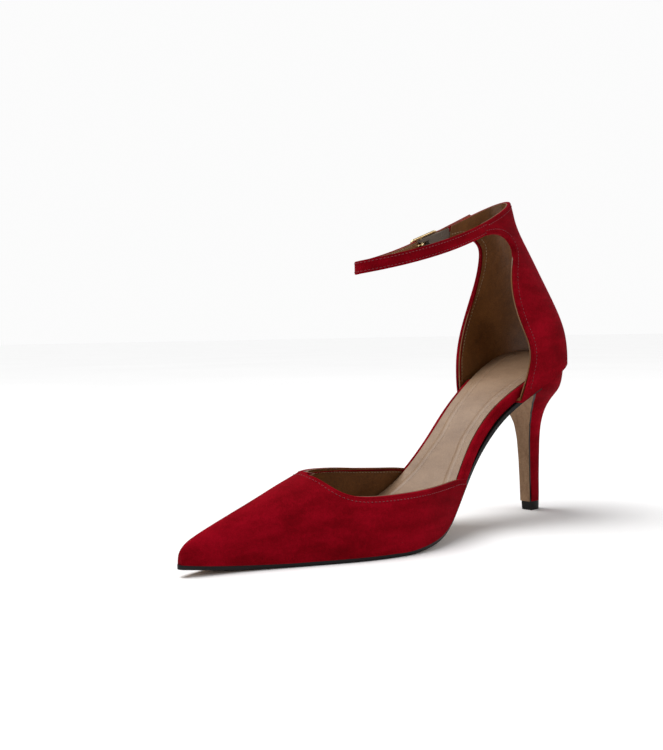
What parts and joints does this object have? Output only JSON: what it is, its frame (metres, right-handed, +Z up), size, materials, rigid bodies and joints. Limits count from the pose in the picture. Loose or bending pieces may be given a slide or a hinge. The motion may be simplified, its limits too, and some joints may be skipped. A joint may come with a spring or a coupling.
{
  "type": "high heel pump",
  "caption": "Right pointed-toe pump with open sides, a closed back to the ankle, a buckled ankle strap and a slim high heel.",
  "frame": {"origin": "centre of the shoe's bounding box in plan, on the floor that the tread and the heel stand on", "axes": "+Z up, the toe points along -Y and the heel lies towards +Y, +X is the medial side of this right shoe"},
  "size_m": [0.0737, 0.2478, 0.1716],
  "materials": {
    "leather_sole": "vegetable-tanned leather, edge inked black",
    "cork": "ground cork filler",
    "steel": "spring steel and wire",
    "board": "cellulose board",
    "suede": "red suede, brushed nap",
    "lining_leather": "brown glazed lining leather",
    "sock_leather": "beige smooth leather",
    "foam": "latex foam",
    "stiffener": "thermoplastic stiffener and cloth tape",
    "abs": "moulded ABS heel",
    "tpu": "black polyurethane top piece",
    "gold": "polished pale gold plating",
    "elastic": "ribbed grey-brown elastic"
  },
  "bodies": {
    "shoe": {"outsole": "leather_sole", "bottom_filler": "cork", "shank": "steel", "shank_rivets": "steel", "insole_board": "board", "insole_wrap_medial": "suede", "insole_wrap_lateral": "suede", "sock_pad": "foam", "sock_lining": "sock_leather", "vamp": "suede", "vamp_interlining": "stiffener", "toe_puff": "stiffener", "vamp_lining": "lining_leather", "quarter_medial": "suede", "quarter_lateral": "suede", "heel_counter": "stiffener", "quarter_lining": "lining_leather", "heel_block": "abs", "heel_cover": "suede", "heel_pin": "steel", "heel_screw": "steel", "heel_nails": "steel", "top_piece": "tpu", "top_piece_pin": "steel", "elastic_loop": "elastic"},
    "strap": {"ankle_strap": "suede", "strap_tape": "stiffener", "strap_lining": "lining_leather"},
    "buckle": {"buckle_frame": "gold"},
    "prong": {"buckle_prong": "gold"}
  },
  "joints": [
    {"name": "strap_swing", "type": "hinge", "parent": "shoe", "child": "strap", "pos_m": [0.0184, 0.0484, 0.153], "axis": [0, 0, 1], "range_deg": [0, 100], "deforming": ["ankle_strap", "strap_tape", "strap_lining"]},
    {"name": "buckle_swing", "type": "hinge", "parent": "shoe", "child": "buckle", "pos_m": [-0.02235, 0.045, 0.14867], "axis": [-0.0258, -0.3493, 0.9366], "range_deg": [0, 60]},
    {"name": "prong_lift", "type": "hinge", "parent": "buckle", "child": "prong", "pos_m": [-0.02235, 0.045, 0.14867], "axis": [0.0258, 0.3493, -0.9366], "range_deg": [0, 100]}
  ],
  "couplings": [
    {"joint": "prong_lift", "follows": "strap_swing", "ratio": 1}
  ]
}
